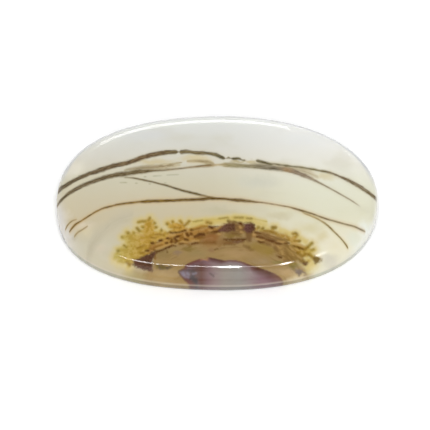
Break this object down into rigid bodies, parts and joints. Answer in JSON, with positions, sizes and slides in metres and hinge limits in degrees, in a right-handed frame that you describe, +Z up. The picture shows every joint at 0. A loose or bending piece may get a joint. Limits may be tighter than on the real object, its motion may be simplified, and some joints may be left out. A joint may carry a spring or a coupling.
{
  "type": "dendritic agate cabochon",
  "caption": "Polished oval cabochon of translucent dendritic agate, flat on the back with a gently domed crown, for a bezel setting or a display.",
  "frame": {"origin": "middle of the flat back, under the middle of the stone's outline", "axes": "+X along the long axis, +Z up from the back through the crown, -Y towards the long side that carries the plume"},
  "size_m": [0.045, 0.0264, 0.0045],
  "materials": {
    "agate": "high polish, milky and translucent, with brown iron-stained lines, a golden plume and a mauve lens"
  },
  "bodies": {
    "root": {"agate_cabochon": "agate"}
  },
  "joints": []
}
